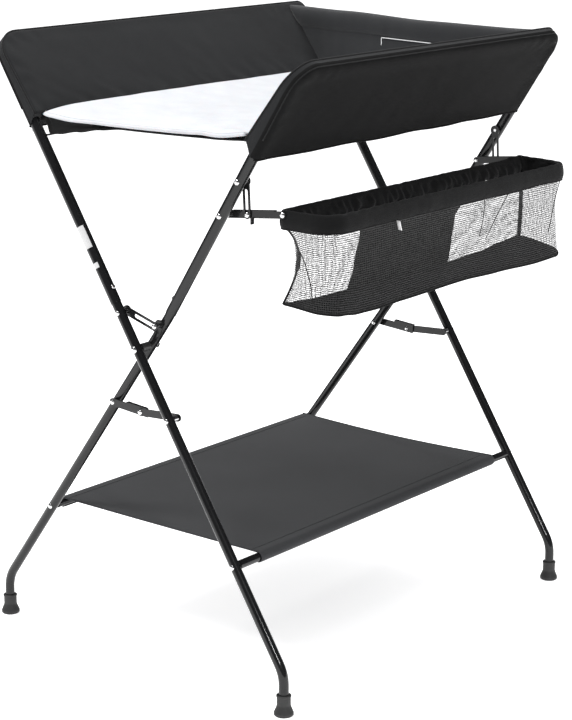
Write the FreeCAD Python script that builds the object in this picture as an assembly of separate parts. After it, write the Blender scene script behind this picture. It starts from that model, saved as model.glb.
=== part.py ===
import FreeCAD, Part
import math
import os

from FreeCAD import Vector

os.makedirs("parts", exist_ok=True)

# ---------------------------------------------------------------------------
# Folding changing table, millimetres, +Z up.
# X runs across the folding X frames, Y runs along the tray and the pivots.
# The tray is open at -Y (the open end) and closed by a wall at +Y (the head
# end).  The outer frame leans to -X at the top, the inner frame leans to +X.
# The layout below is drawn about the point midway between the feet; every
# piece is then moved along X so that the origin is at the bottom centre of
# the whole table, basket included.
# ---------------------------------------------------------------------------

# Frame layout
foot_spread = 640.0            # between the feet of the two frames, along X
outer_leg_y = 384.0            # outer leg axis from the middle plane
leg_gap = 18.0                 # free gap between an outer and an inner lower leg, along Y
pivot_x = 23.5                 # scissor pivot
pivot_z = 535.0
ankle_z = 66.0                 # where the slanted leg line meets the vertical foot line
ankle_bend = 60.0              # bend radius of the ankles, on the tube axis
outer_bar_z = 997.0            # axis height of the outer frame's top bar
inner_bar_z = 988.0            # axis height of the inner frame's top bar
top_corner_bend = 36.0         # bend radius of the top corners, on the tube axis
inner_top_tilt = 32.7          # degrees from vertical, inner frame above its leg joint
kink_z = 583.0                 # height of the slight bend in the inner legs
kink_bend = 90.0
outer_joint_z = 603.0          # lower end of the outer top tube
joint_above_kink = 12.0        # lower end of the inner top tube, along the leg above the bend

# Tubes
top_tube_d = 17.5
top_tube_wall = 0.7
telescope_clearance = 0.05     # radial, lower leg in top tube
leg_wall = 1.0
leg_insert = 60.0              # length of lower leg inside the top tube
bar_d = 14.0
bar_wall = 1.0
bar_end_gap = 0.1              # bar end to leg

# Feet
foot_flare_d = 31.0
foot_collar_d = 22.0
foot_height = 34.0
foot_floor = 6.0
foot_clearance = 0.05

# Fasteners
rivet_d = 5.0
rivet_head_d = 9.0
rivet_head_h = 2.2
hole_clearance = 0.05          # radial, rivets and bolts in their holes
pivot_bolt_d = 6.0
pivot_head_d = 12.0
pivot_head_h = 3.2
nut_across = 10.0
nut_h = 5.0
spacer_d = 14.0
face_gap = 0.1                 # washers, spacers and nuts to the face beside them
slip_gap = 0.3                 # between moving flat pieces
sleeve_d = 9.0
leg_screw_d = 4.0
leg_screw_up = 25.0            # leg joint screw above the end of the top tube

# Shelf
shelf_bar_z = 220.0
shelf_leg_gap = 12.0           # end of the shelf cloth to the inner legs, along Y
shelf_t = 1.6
shelf_sleeve_t = 1.4
plug_length = 15.0

# Knee braces and limiters
brace_z = 430.5                # rivet height on both legs
knee_drop = 5.0                # knee below the straight line between its rivets
knee_share = 0.44              # knee position along the brace, from the inner leg
link_t = 2.2
brace_width = 12.5
brace_tab = 14.0               # inner link past the knee, under its top flange
brace_flange_from = 34.0       # start of the flange along the inner link
brace_flange_t = 1.4
brace_flange_out = 1.8         # flange past the outer link's face
limiter_z = 589.0              # rivet height on the outer leg
limiter_bolt_z = 572.0
limiter_bolt_off = 3.5         # bolt left of the inner leg axis, on a lug
limiter_width = 14.0
slot_w = 6.6
slot_bolt_d = 6.0
limiter_slot_near = 20.0       # slot's near end from the rivet
lug_t = 1.8
basket_slot_near = 16.0

# Basket
basket_arm_z = 760.0           # arm rivet height on the inner leg
basket_link_z = 815.6          # link rivet height on the inner leg
arm_width = 11.0
arm_bolt_reach = 38.5          # sliding bolt from the arm rivet
arm_tab = 8.0                  # stop tab below the arm
link_width = 13.0
rim_d = 8.0
rim_inner_x = 268.0
rim_outer_x = 361.0
rim_z = 771.0
rim_arm_gap = 6.05             # axis of the rim's short sides to the basket arms, along Y
rim_corner = 12.0               # bend radius at the inner long side
rim_outer_corner = 32.0        # bend radius at the outer long side
rim_bolt_in = 9.0              # rim bolt from the rim's inner long side
rim_bolt_d = 4.0
rim_bolt_depth = 1.5           # bolt's blind hole past the rim's axis
band_drop = 30.0
cloth_t = 2.0
cloth_gap = 0.5
basket_bottom_z = 625.0
floor_t = 3.0
panel_half_y = 140.0

# Soft top
cover_t = 1.8                  # cloth around the top tubes
cover_gap = 0.4
outer_cover_z = 870.0          # lower edge of the outer side wall
inner_cover_z = 854.0
wall_foot_t = 22.0             # inner face of a side wall from the tube axis, at its lower edge
bed_z = 884.0                  # top of the mat
mat_t = 5.0
board_t = 8.0
sling_t = 2.0
bed_gap = 0.5
bed_half_y = 380.0
end_wall_in = 350.0            # inner face of the end wall
end_wall_t = 14.0
wall_clear = 1.5

# ---------------------------------------------------------------------------
# Derived layout
# ---------------------------------------------------------------------------
top_r = top_tube_d / 2
leg_d = top_tube_d - 2 * top_tube_wall - 2 * telescope_clearance
leg_r = leg_d / 2
foot_x = foot_spread / 2
inner_leg_y = outer_leg_y - leg_d - leg_gap
bar_r = bar_d / 2

outer_tilt = math.atan2(foot_x - pivot_x, pivot_z - ankle_z)
inner_tilt = math.atan2(foot_x + pivot_x, pivot_z - ankle_z)
top_tilt = math.radians(inner_top_tilt)


def outer_x(z):
    """X of the outer leg axis at height z."""
    return pivot_x - (z - pivot_z) * math.tan(outer_tilt)


def inner_low_x(z):
    """X of the inner leg axis below its bend."""
    return pivot_x + (z - pivot_z) * math.tan(inner_tilt)


def inner_top_x(z):
    """X of the inner leg axis above its bend."""
    return inner_low_x(kink_z) + (z - kink_z) * math.tan(top_tilt)


inner_joint_z = kink_z + joint_above_kink * math.cos(top_tilt)
outer_up = Vector(-math.sin(outer_tilt), 0, math.cos(outer_tilt))
inner_up = Vector(math.sin(top_tilt), 0, math.cos(top_tilt))
outer_out = Vector(-math.cos(outer_tilt), 0, -math.sin(outer_tilt))
inner_out = Vector(math.cos(top_tilt), 0, -math.sin(top_tilt))

# Flat links lie in the gap between the legs (braces, limiters) or inside the
# inner legs (basket).  Each value is the distance of a face from the middle plane.
outer_face = outer_leg_y - leg_r
inner_face = inner_leg_y + leg_r
inner_side = inner_leg_y - leg_r
arm_side = inner_leg_y - top_r
limiter_y0 = outer_face - 8.0
limiter_y1 = limiter_y0 + link_t
brace_in_y0 = inner_face + slip_gap + rivet_head_h + face_gap
brace_in_y1 = brace_in_y0 + link_t
brace_out_y0 = brace_in_y1 + slip_gap
brace_out_y1 = brace_out_y0 + link_t
basket_bolt_y = arm_side - slip_gap
basket_link_y1 = basket_bolt_y - rivet_head_h
basket_link_y0 = basket_link_y1 - link_t
arm_y1 = basket_link_y0 - slip_gap
arm_y0 = arm_y1 - link_t
rim_half_y = arm_y0 - rim_arm_gap
shelf_half_y = inner_side - shelf_leg_gap

ENDS = {"open": -1, "head": 1}


# ---------------------------------------------------------------------------
# Shape helpers
# ---------------------------------------------------------------------------
def rounded_path(points, radii):
    """Wire of straight runs with a tangent arc of the given radius at each inner point."""
    edges = []
    start = points[0]
    for before, corner, after, radius in zip(points, points[1:], points[2:], radii):
        back = (before - corner).normalize()
        ahead = (after - corner).normalize()
        half = back.getAngle(ahead) / 2
        reach = radius / math.tan(half)
        bisector = (back + ahead).normalize()
        centre = corner + bisector * (radius / math.sin(half))
        a = corner + back * reach
        b = corner + ahead * reach
        middle = centre - bisector * radius
        edges.append(Part.makeLine(start, a))
        edges.append(Part.Arc(a, middle, b).toShape())
        start = b
    edges.append(Part.makeLine(start, points[-1]))
    return Part.Wire(edges)


def rod(path, diameter):
    """Solid round bar swept along a wire that starts with a straight run."""
    first = path.OrderedEdges[0]
    direction = first.tangentAt(first.FirstParameter)
    circle = Part.Circle(first.valueAt(first.FirstParameter), direction, diameter / 2)
    profile = Part.Wire([circle.toShape()])
    return path.makePipeShell([profile], True, True)


def tube(path, diameter, wall):
    """Open round tube swept along a wire."""
    return rod(path, diameter).cut(rod(path, diameter - 2 * wall))


def along_y(x, z, y0, y1, diameter):
    """Cylinder with its axis along Y, between two distances from the middle plane."""
    low = min(y0, y1)
    return Part.makeCylinder(diameter / 2, abs(y1 - y0), Vector(x, low, z), Vector(0, 1, 0))


def turned(base, axis, profile):
    """Solid of revolution; the profile lists (distance along the axis, radius) and ends on the axis."""
    points = [Vector(radius, 0, distance) for distance, radius in profile]
    face = Part.Face(Part.makePolygon(points + [points[0]]))
    solid = face.revolve(Vector(0, 0, 0), Vector(0, 0, 1), 360)
    solid.Placement = FreeCAD.Placement(base, FreeCAD.Rotation(Vector(0, 0, 1), axis))
    return solid


def dome(start, way, diameter, height):
    """Profile of a low round head that stands on a plane, from its rim to its top."""
    rows = []
    for step in range(4):
        angle = math.radians(step * 22.5)
        rows.append((start + way * height * math.sin(angle), diameter / 2 * math.cos(angle)))
    return rows + [(rows[-1][0], 0)]


def rivet(at, side, y_head, y_tail, diameter, head=None, collar=None, tail_head=True):
    """Rivet or bolt along Y at (x, z), from its head's plane to its tail's plane.

    head is (diameter, height).  collar is the span of an optional spacer on the shank.
    """
    head_d, head_h = head or (rivet_head_d, rivet_head_h)
    away = 1 if y_head > y_tail else -1
    shank = diameter / 2
    profile = dome(y_head, away, head_d, head_h)[::-1] + [(y_head, shank)]
    if collar:
        first, last = collar
        profile += [(first, shank), (first, sleeve_d / 2), (last, sleeve_d / 2), (last, shank)]
    profile.append((y_tail, shank))
    if tail_head:
        profile += dome(y_tail, -away, head_d - 1.5, head_h)
    else:
        profile.append((y_tail, 0))
    return turned(Vector(at[0], 0, at[1]), Vector(0, side, 0), profile)


def stadium(x0, z0, x1, z1, width, y0, y1, ends=(True, True)):
    """Flat bar in an XZ plane, rounded about its two end points."""
    a = Vector(x0, 0, z0)
    b = Vector(x1, 0, z1)
    run = (b - a).normalize()
    across = Vector(-run.z, 0, run.x) * (width / 2)
    low = min(y0, y1)
    height = abs(y1 - y0)
    corners = [a + across, b + across, b - across, a - across]
    face = Part.Face(Part.makePolygon(corners + [corners[0]]))
    bar = face.extrude(Vector(0, height, 0))
    for point, rounded in zip((a, b), ends):
        if rounded:
            bar = bar.fuse(Part.makeCylinder(width / 2, height, point, Vector(0, 1, 0)))
    bar.translate(Vector(0, low, 0))
    return bar.removeSplitter()


def prism(points, y0, y1):
    """Closed solid from an XZ outline, between two Y values."""
    low = min(y0, y1)
    corners = [Vector(x, low, z) for x, z in points]
    face = Part.Face(Part.makePolygon(corners + [corners[0]]))
    return face.extrude(Vector(0, abs(y1 - y0), 0))


def box(x0, x1, y0, y1, z0, z1):
    return Part.makeBox(x1 - x0, y1 - y0, z1 - z0, Vector(x0, y0, z0))


def both_ends(make):
    """Group of the same piece at the open end and at the head end."""
    return Part.Compound([make(side) for side in ENDS.values()])


# Moves the layout so that the whole table is centred on the origin.
centre_x = ((rim_outer_x + rim_d / 2 + cloth_gap + cloth_t) - (foot_x + foot_flare_d / 2)) / 2


def save(name, shape):
    shape.translate(Vector(-centre_x, 0, 0))
    solids = shape.Solids
    result = solids[0] if len(solids) == 1 else Part.Compound(solids)
    assert result.isValid() and solids, name
    result.exportStep("parts/" + name + ".step")


# ---------------------------------------------------------------------------
# Frames
# ---------------------------------------------------------------------------
def outer_point(z, y):
    return Vector(outer_x(z), y, z)


def inner_point(z, y):
    return Vector(inner_top_x(z), y, z)


def top_path(point, leg_y, joint_z, bar_z):
    """Axis of a U-shaped top tube: up one leg, across the top bar and down the other."""
    points = [point(joint_z, -leg_y), point(bar_z, -leg_y), point(bar_z, leg_y), point(joint_z, leg_y)]
    return rounded_path(points, [top_corner_bend] * 2)


outer_top_path = top_path(outer_point, outer_leg_y, outer_joint_z, outer_bar_z)
inner_top_path = top_path(inner_point, inner_leg_y, inner_joint_z, inner_bar_z)


def outer_leg_path(side):
    y = side * outer_leg_y
    start = outer_point(outer_joint_z, y) + outer_up * leg_insert
    ankle = Vector(foot_x, y, ankle_z)
    return rounded_path([start, ankle, Vector(foot_x, y, foot_floor + foot_clearance)], [ankle_bend])


def inner_leg_path(side):
    y = side * inner_leg_y
    start = inner_point(inner_joint_z, y) + inner_up * leg_insert
    kink = inner_point(kink_z, y)
    ankle = Vector(-foot_x, y, ankle_z)
    end = Vector(-foot_x, y, foot_floor + foot_clearance)
    return rounded_path([start, kink, ankle, end], [kink_bend, ankle_bend])


def cross_hole(x, z, y, diameter):
    """Hole along Y through one leg."""
    reach = top_tube_d
    return along_y(x, z, y - reach, y + reach, diameter + 2 * hole_clearance)


def knee_points():
    """Inner rivet, knee and outer rivet of a brace, as (x, z)."""
    a = (inner_low_x(brace_z), brace_z)
    b = (outer_x(brace_z), brace_z)
    knee = (a[0] + (b[0] - a[0]) * knee_share, brace_z - knee_drop)
    return a, knee, b


brace_inner_at, knee_at, brace_outer_at = knee_points()
limiter_at = (outer_x(limiter_z), limiter_z)
limiter_bolt_at = (inner_low_x(limiter_bolt_z) - limiter_bolt_off, limiter_bolt_z)
shelf_outer_at = (outer_x(shelf_bar_z), shelf_bar_z)
shelf_inner_at = (inner_low_x(shelf_bar_z), shelf_bar_z)
arm_at = (inner_top_x(basket_arm_z), basket_arm_z)
basket_link_at = (inner_top_x(basket_link_z), basket_link_z)
rim_bolt_at = (rim_inner_x + rim_bolt_in, rim_z)
arm_angle = math.atan2(rim_bolt_at[1] - arm_at[1], rim_bolt_at[0] - arm_at[0])
basket_bolt_at = (arm_at[0] + arm_bolt_reach * math.cos(arm_angle), arm_at[1] + arm_bolt_reach * math.sin(arm_angle))


def leg_screw_hole(joint, up, out, y, diameter):
    base = joint + up * leg_screw_up
    base.y = y
    return Part.makeCylinder(diameter / 2, 2 * top_r + 4, base - out * (top_r + 2), out)


def leg_holes(points, y, diameter):
    return [cross_hole(x, z, y, diameter) for x, z in points]


def drilled(shape, holes):
    return shape.cut(Part.Compound(holes))


def screw_in(joint, up, out, y):
    """Leg joint screw: from the inside of the X through the leg's near walls."""
    base = joint + up * leg_screw_up
    base.y = y
    profile = dome(-top_r - face_gap, -1, leg_screw_d * 2, 1.8)[::-1]
    profile += [(-top_r - face_gap, leg_screw_d / 2), (0, leg_screw_d / 2), (0, 0)]
    return turned(base, out, profile)


outer_joint = outer_point(outer_joint_z, 0)
inner_joint = inner_point(inner_joint_z, 0)
wall_screw_z = outer_cover_z - 6.0


def wall_screw_axis(side, diameter, length, start_off):
    base = outer_point(wall_screw_z, side * outer_leg_y) + outer_out * start_off
    return Part.makeCylinder(diameter / 2, length, base, outer_out * -1)


def wall_screw(side):
    """Screw below the outer side wall, its head on the outside of the X."""
    base = outer_point(wall_screw_z, side * outer_leg_y)
    profile = dome(-top_r - face_gap, -1, leg_screw_d * 2, 1.8)[::-1]
    profile += [(-top_r - face_gap, leg_screw_d / 2), (-2, leg_screw_d / 2), (-2, 0)]
    return turned(base, outer_out * -1, profile)


def make_outer_top_tube():
    shape = tube(outer_top_path, top_tube_d, top_tube_wall)
    holes = []
    for side in ENDS.values():
        y = side * outer_leg_y
        holes.append(leg_screw_hole(outer_joint, outer_up, outer_out, y, leg_screw_d + 2 * hole_clearance))
        holes.append(wall_screw_axis(side, leg_screw_d + 2 * hole_clearance, top_r, top_r + 1))
    return drilled(shape, holes)


def make_inner_top_tube():
    shape = tube(inner_top_path, top_tube_d, top_tube_wall)
    holes = []
    for side in ENDS.values():
        y = side * inner_leg_y
        holes.append(leg_screw_hole(inner_joint, inner_up, inner_out, y, leg_screw_d + 2 * hole_clearance))
        holes += leg_holes([arm_at, basket_link_at], y, rivet_d)
    return drilled(shape, holes)


def make_outer_leg(side):
    y = side * outer_leg_y
    shape = tube(outer_leg_path(side), leg_d, leg_wall)
    holes = leg_holes([limiter_at, brace_outer_at, shelf_outer_at], y, rivet_d)
    holes += leg_holes([(pivot_x, pivot_z)], y, pivot_bolt_d)
    holes.append(leg_screw_hole(outer_joint, outer_up, outer_out, y, leg_screw_d + 2 * hole_clearance))
    return drilled(shape, holes)


def make_inner_leg(side):
    y = side * inner_leg_y
    shape = tube(inner_leg_path(side), leg_d, leg_wall)
    holes = leg_holes([brace_inner_at, shelf_inner_at], y, rivet_d)
    holes += leg_holes([(pivot_x, pivot_z)], y, pivot_bolt_d)
    holes.append(leg_screw_hole(inner_joint, inner_up, inner_out, y, leg_screw_d + 2 * hole_clearance))
    return drilled(shape, holes)


def make_foot(x, y):
    """Rubber cap: flared sole, narrower collar with a rolled lip, blind socket for the leg."""
    sole_r = foot_flare_d / 2
    collar_r = foot_collar_d / 2
    outline = [
        (0, 0), (sole_r - 1.5, 0), (sole_r, 1.5), (sole_r, 5), (collar_r + 1.2, 13),
        (collar_r, 17), (collar_r, foot_height - 4), (collar_r + 0.8, foot_height - 3),
        (collar_r + 0.8, foot_height - 1), (collar_r - 0.4, foot_height), (0, foot_height),
    ]
    points = [Vector(r, 0, z) for r, z in outline]
    profile = Part.Face(Part.makePolygon(points + [points[0]]))
    cap = profile.revolve(Vector(0, 0, 0), Vector(0, 0, 1), 360)
    socket_r = leg_r + foot_clearance
    cap = cap.cut(Part.makeCylinder(socket_r, foot_height, Vector(0, 0, foot_floor)))
    cap.translate(Vector(x, y, 0))
    return cap


def make_shelf_bar(at, leg_inside):
    half = leg_inside - bar_end_gap
    bar = along_y(at[0], at[1], -half, half, bar_d)
    return bar.cut(along_y(at[0], at[1], -half, half, bar_d - 2 * bar_wall))


def make_bar_plug(at, leg_inside, side):
    outer_end = side * (leg_inside - bar_end_gap - 0.5)
    inner_end = outer_end - side * plug_length
    plug = along_y(at[0], at[1], outer_end, inner_end, bar_d - 2 * bar_wall - 2 * telescope_clearance)
    return plug.cut(along_y(at[0], at[1], outer_end, inner_end, rivet_d + 2 * hole_clearance))


def make_shelf_bolt(at, leg_y, leg_inside, side):
    tip = leg_inside - bar_end_gap - plug_length
    return rivet(at, side, leg_y + leg_r, tip, rivet_d, tail_head=False)


# ---------------------------------------------------------------------------
# Folding hardware
# ---------------------------------------------------------------------------
def make_pivot_bolt(side):
    tip = inner_side - face_gap - nut_h - 1.0
    return rivet((pivot_x, pivot_z), side, outer_leg_y + leg_r, tip, pivot_bolt_d,
                 head=(pivot_head_d, pivot_head_h), tail_head=False)


def make_pivot_nut(side):
    top = inner_side - face_gap
    points = []
    for i in range(6):
        angle = math.radians(60 * i)
        radius = nut_across / 2 / math.cos(math.radians(30))
        points.append((pivot_x + radius * math.cos(angle), pivot_z + radius * math.sin(angle)))
    nut = prism(points, side * top, side * (top - nut_h))
    return nut.cut(along_y(pivot_x, pivot_z, side * top, side * (top - nut_h), pivot_bolt_d + 2 * hole_clearance))


def make_pivot_spacer(side):
    y0 = side * (outer_face - face_gap)
    y1 = side * (inner_face + face_gap)
    spacer = along_y(pivot_x, pivot_z, y0, y1, spacer_d)
    return spacer.cut(along_y(pivot_x, pivot_z, y0, y1, pivot_bolt_d + 2 * hole_clearance))


def make_limiter_rivet(side):
    """Rivet through the outer leg that carries the slotted limiter link."""
    return rivet(limiter_at, side, outer_leg_y + leg_r, limiter_y0 - face_gap, rivet_d,
                 collar=(outer_face - face_gap, limiter_y1 + face_gap))


def make_brace_outer_rivet(side):
    """Rivet through the outer leg; its shoulder ends just short of the open brace end."""
    shoulder_end = brace_out_y1 + slip_gap
    return rivet(brace_outer_at, side, outer_leg_y + leg_r, shoulder_end, rivet_d,
                 collar=(outer_face - face_gap, shoulder_end + 1.0), tail_head=False)


def make_brace_inner_rivet(side):
    """Rivet through the inner leg that carries the inner brace link."""
    return rivet(brace_inner_at, side, brace_in_y1 + face_gap, inner_side, rivet_d,
                 collar=(brace_in_y0 - face_gap, inner_face + face_gap))


def link_hole(at, side, y0, y1, diameter=None):
    return along_y(at[0], at[1], side * (y0 - 1), side * (y1 + 1), (diameter or rivet_d) + 2 * hole_clearance)


def make_brace_inner(side):
    """Inner brace link: flat bar whose raised flange reaches over the outer link and stops it at the open pose."""
    root = Vector(brace_inner_at[0], 0, brace_inner_at[1])
    knee = Vector(knee_at[0], 0, knee_at[1])
    far = Vector(brace_outer_at[0], 0, brace_outer_at[1])
    run = (knee - root).normalize()
    up = Vector(-run.z, 0, run.x)
    turn = run.getAngle(far - knee)
    tip = knee + run * brace_tab
    bar = stadium(root.x, root.z, tip.x, tip.z, brace_width, side * brace_in_y0, side * brace_in_y1, (True, False))
    start = root + run * brace_flange_from
    edge = brace_width / 2
    low = edge / math.cos(turn) + brace_tab * math.tan(turn) + slip_gap

    def strip(bottom, top, y1):
        corners = [start + up * bottom, tip + up * bottom, tip + up * top, start + up * top]
        return prism([(v.x, v.z) for v in corners], side * brace_in_y0, side * y1)

    web = strip(edge - 0.6, low + brace_flange_t, brace_in_y1)
    flange = strip(low, low + brace_flange_t, brace_out_y1 + brace_flange_out)
    link = bar.fuse([web, flange]).removeSplitter()
    for at in (brace_inner_at, knee_at):
        link = link.cut(link_hole(at, side, brace_in_y0, brace_in_y1))
    return link


def make_brace_outer(side):
    """Outer brace link: flat bar from the knee to the outer leg, rounded at both ends."""
    y0, y1 = side * brace_out_y0, side * brace_out_y1
    link = stadium(*knee_at, *brace_outer_at, brace_width, y0, y1)
    return link.cut(link_hole(knee_at, side, brace_out_y0, brace_out_y1))


def make_knee_rivet(side):
    return rivet(knee_at, side, brace_out_y1 + face_gap, brace_in_y0 - face_gap, rivet_d)


def slotted_link(at, bolt_at, slot_near, width, side, y0, y1):
    """Flat link with a wide rounded eye at its rivet and a long slot that ends at the bolt."""
    run = Vector(bolt_at[0] - at[0], 0, bolt_at[1] - at[1])
    length = run.Length
    run = run.normalize()
    plate = stadium(*at, *bolt_at, width, side * y0, side * y1)
    eye = along_y(at[0], at[1], side * y0, side * y1, width + 4)
    near = (at[0] + run.x * slot_near, at[1] + run.z * slot_near)
    slot = stadium(*near, *bolt_at, slot_w, side * (y0 - 1), side * (y1 + 1))
    assert length > slot_near
    return plate.fuse(eye).removeSplitter().cut(slot).cut(link_hole(at, side, y0, y1))


def make_limiter_link(side):
    return slotted_link(limiter_at, limiter_bolt_at, limiter_slot_near, limiter_width, side, limiter_y0, limiter_y1)


def make_limiter_bolt(side):
    """Shouldered bolt that slides in the limiter's slot and reaches towards the lug."""
    tail = inner_face + lug_t + slip_gap
    return rivet(limiter_bolt_at, side, limiter_y1 + face_gap, tail, slot_bolt_d, tail_head=False)


def make_limiter_lug(side):
    """Pressed lug on the outer face of the inner leg, with a pointed stop below the bolt."""
    x, z = limiter_bolt_at
    outline = [(x - 9, z + 3), (x - 3, z + 9), (x + 9, z + 9), (x + 11, z + 2), (x + 3, z - 14), (x - 11, z - 11)]
    return prism(outline, side * (inner_face + face_gap), side * (inner_face + face_gap + lug_t - 0.2))


# ---------------------------------------------------------------------------
# Basket
# ---------------------------------------------------------------------------
def make_basket_arm(side):
    """Flat arm with a short top flange and a stop tab, from its rivet on the inner leg to the rim."""
    y0, y1 = side * arm_y0, side * arm_y1
    slope = math.tan(arm_angle)
    half = arm_width / 2
    arm = stadium(*arm_at, *rim_bolt_at, arm_width, y0, y1)
    start = (arm_at[0] + half, arm_at[1] + half * slope + half - 0.6)
    stop = (rim_bolt_at[0] - 16, rim_bolt_at[1] - 16 * slope + half - 0.6)
    flange = prism([start, stop, (stop[0], stop[1] + 1.8), (start[0], start[1] + 1.8)],
                   side * (arm_y0 - 5.0), y1)
    tab_x = basket_bolt_at[0] + link_width / 2 + 2.0
    tab_top = basket_bolt_at[1] - half + 2.0
    tab = box(tab_x, tab_x + 2.0, *sorted((y0, side * basket_bolt_y)), tab_top - arm_tab - 2.0, tab_top)
    arm = arm.fuse([flange, tab]).removeSplitter()
    for at in (arm_at, rim_bolt_at):
        arm = arm.cut(link_hole(at, side, arm_y0, arm_y1))
    return arm


def make_arm_rivet(side):
    return rivet(arm_at, side, inner_leg_y + top_r, arm_y0 - face_gap, rivet_d,
                 collar=(arm_side - face_gap, arm_y1 + face_gap))


def make_basket_link(side):
    return slotted_link(basket_link_at, basket_bolt_at, basket_slot_near, link_width, side,
                        basket_link_y0, basket_link_y1)


def make_basket_link_rivet(side):
    """Rivet through the inner leg that carries the basket link; its tail is set flush."""
    return rivet(basket_link_at, side, inner_leg_y + top_r, basket_link_y0 + 0.2, rivet_d,
                 collar=(arm_side - face_gap, basket_link_y1 + face_gap), tail_head=False)


def make_basket_bolt(side):
    """Bolt that slides in the basket link's slot; its tail stops just short of the arm."""
    return rivet(basket_bolt_at, side, basket_link_y1 + face_gap, arm_y1 + face_gap, slot_bolt_d,
                 head=(rivet_head_d, rivet_head_h - 2 * face_gap), tail_head=False)


def rim_outline(grow, z):
    """Rounded rectangle of the basket rim, grown sideways, as a closed wire."""
    x0, x1 = rim_inner_x - grow, rim_outer_x + grow
    y = rim_half_y + grow
    face = Part.makePlane(x1 - x0, 2 * y, Vector(x0, -y, z))
    solid = face.extrude(Vector(0, 0, 1))
    uprights = [e for e in solid.Edges if abs(e.tangentAt(e.FirstParameter).z) > 0.9]
    rounded = solid.makeFillet(rim_corner + grow, [e for e in uprights if e.CenterOfMass.x < rim_inner_x + 20])
    uprights = [e for e in rounded.Edges if e.CenterOfMass.x > x1 - 1 and abs(e.tangentAt(e.FirstParameter).z) > 0.9]
    rounded = rounded.makeFillet(rim_outer_corner + grow, uprights)
    bottom = min(rounded.Faces, key=lambda f: f.CenterOfMass.z)
    return bottom.OuterWire


def rim_slab(grow, z0, z1):
    """Closed rounded block with the rim's outline."""
    return Part.Face(rim_outline(grow, z0)).extrude(Vector(0, 0, z1 - z0))


def make_basket_rim():
    """Closed wire rim: four straight runs and four corner bends."""
    outline = rim_outline(0, rim_z)
    edges = Part.sortEdges(outline.Edges)[0]
    straight = next(i for i, e in enumerate(edges) if e.Curve.TypeId == "Part::GeomLine")
    path = Part.Wire(edges[straight:] + edges[:straight])
    holes = [along_y(*rim_bolt_at, side * (rim_half_y - rim_bolt_depth), side * (rim_half_y + rim_d),
                     rim_bolt_d + 2 * hole_clearance) for side in ENDS.values()]
    return drilled(rod(path, rim_d), holes)


def make_rim_bolt(side):
    return rivet(rim_bolt_at, side, arm_y1 + face_gap, rim_half_y - rim_bolt_depth + 0.2, rim_bolt_d,
                 tail_head=False)


band_grow = rim_d / 2 + cloth_gap
band_top = rim_z + rim_d / 2 + cloth_gap + cloth_t
band_low = band_top - band_drop


def make_basket_band():
    """Cloth band folded over the rim: outer skirt, top fold and a short inner skirt, with gaps for the arms."""
    outer = rim_slab(band_grow + cloth_t, band_low, band_top)
    hollow = rim_slab(band_grow, band_low - 1, rim_z + rim_d / 2 + cloth_gap)
    mouth = rim_slab(-band_grow - cloth_t, band_low - 1, band_top + 1)
    inner_skirt = rim_slab(-band_grow, rim_z - rim_d, rim_z + rim_d / 2 + cloth_gap)
    inner_skirt = inner_skirt.cut(rim_slab(-band_grow - cloth_t, rim_z - rim_d - 1, band_top + 1))
    band = outer.cut(hollow).cut(mouth).fuse(inner_skirt)
    for side in ENDS.values():
        x, z = rim_bolt_at
        y0, y1 = sorted((side * (rim_half_y + rim_d / 4), side * (rim_half_y + rim_d * 2)))
        band = band.cut(box(rim_inner_x - 40, x + arm_width / 2 + 1, y0, y1, band_low - 1, z + arm_width / 2 + 1))
    return band.removeSplitter()


net_top = band_low - cloth_gap
floor_top = basket_bottom_z + floor_t


def make_basket_net():
    """Four net walls, open at the top and at the floor."""
    outer = rim_slab(band_grow + cloth_t, floor_top + cloth_gap, net_top)
    inner = rim_slab(band_grow, floor_top, net_top + 1)
    return outer.cut(inner)


def make_basket_floor():
    return rim_slab(band_grow + cloth_t, basket_bottom_z, floor_top)


def make_basket_panel():
    """Solid cloth panel inside the net wall nearest the frame."""
    x0 = rim_inner_x - band_grow + cloth_gap
    return box(x0, x0 + 1.2, -panel_half_y, panel_half_y, floor_top + cloth_gap, net_top)


# ---------------------------------------------------------------------------
# Soft top and shelf
# ---------------------------------------------------------------------------
def wall_cover(point, path, leg_y, up, out, low_z, bar_z):
    """Tapered cloth wall around a top tube: thin at the top bar, thicker at its lower edge."""
    half = top_r + cover_gap + cover_t
    low = point(low_z, 0)
    high = point(bar_z, 0) + up * half
    outline = [low + out * half, high + out * half, high - out * half, low - out * wall_foot_t]
    width = leg_y + half
    corners = [(v.x, v.z) for v in outline]
    slab = prism(corners, -width, width)
    upright = []
    for edge in slab.Edges:
        ends = [v.Point for v in edge.Vertexes]
        along = (ends[1] - ends[0]).normalize()
        if abs(along.cross(out).Length - 0) < 1e-6 and (ends[0] - high).dot(up) > -1:
            upright.append(edge)
    rounded = slab.makeFillet(top_corner_bend + half, upright)
    channel = rod(path, top_tube_d + 2 * cover_gap)
    return rounded.cut(channel)


def make_outer_wall():
    return wall_cover(outer_point, outer_top_path, outer_leg_y, outer_up, outer_out, outer_cover_z, outer_bar_z)


def make_inner_wall():
    return wall_cover(inner_point, inner_top_path, inner_leg_y, inner_up, inner_out, inner_cover_z, inner_bar_z)


def wall_inner_x(frame, z):
    """X of the tray-side face of a side wall at height z."""
    half = top_r + cover_gap + cover_t
    if frame == "outer":
        low = outer_point(outer_cover_z, 0) - outer_out * wall_foot_t
        high = outer_point(outer_bar_z, 0) + outer_up * half - outer_out * half
    else:
        low = inner_point(inner_cover_z, 0) - inner_out * wall_foot_t
        high = inner_point(inner_bar_z, 0) + inner_up * half - inner_out * half
    return low.x + (high.x - low.x) * (z - low.z) / (high.z - low.z)


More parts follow.
